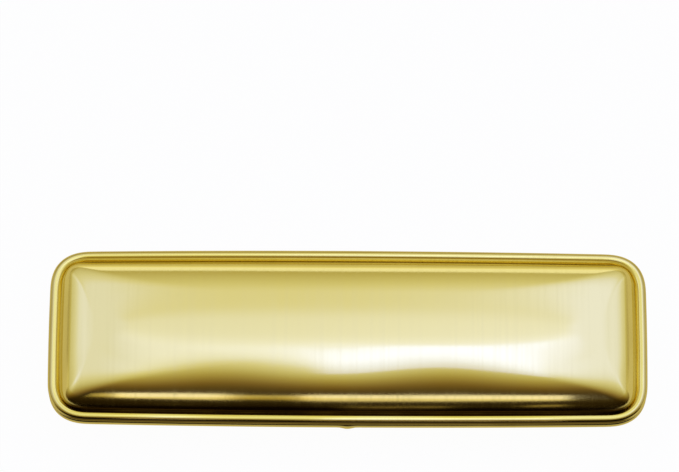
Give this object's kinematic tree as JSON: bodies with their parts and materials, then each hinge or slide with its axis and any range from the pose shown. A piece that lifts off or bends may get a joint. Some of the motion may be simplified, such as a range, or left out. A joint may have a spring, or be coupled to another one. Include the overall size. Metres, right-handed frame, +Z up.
{
  "type": "pen case",
  "caption": "Slim pressed brass pen case: a pillow-domed lid with a rolled bead rim, hinged along the back to a rounded tray with a locating collar.",
  "frame": {"origin": "middle of the case's plan, on the flat face that it rests on", "axes": "+X along the case, -Y towards the front that opens, +Z up"},
  "size_m": [0.1686, 0.0515, 0.0214],
  "materials": {
    "lid": "satin, finely brushed across the case",
    "tray": "satin, finely brushed across the case",
    "collar": "satin, as rolled",
    "hinge": "drawn, slightly toned"
  },
  "bodies": {
    "tray": {"base_shell": "tray", "collar": "collar", "back_collar": "collar", "left_base_leaf": "hinge", "right_base_leaf": "hinge", "left_hinge_pin": "hinge", "right_hinge_pin": "hinge"},
    "lid": {"lid_shell": "lid", "left_lid_leaf": "hinge", "right_lid_leaf": "hinge"}
  },
  "joints": [
    {"name": "lid_hinge", "type": "hinge", "parent": "tray", "child": "lid", "pos_m": [0, 0.0242, 0.0092], "axis": [-1, 0, 0], "range_deg": [0, 165]}
  ]
}
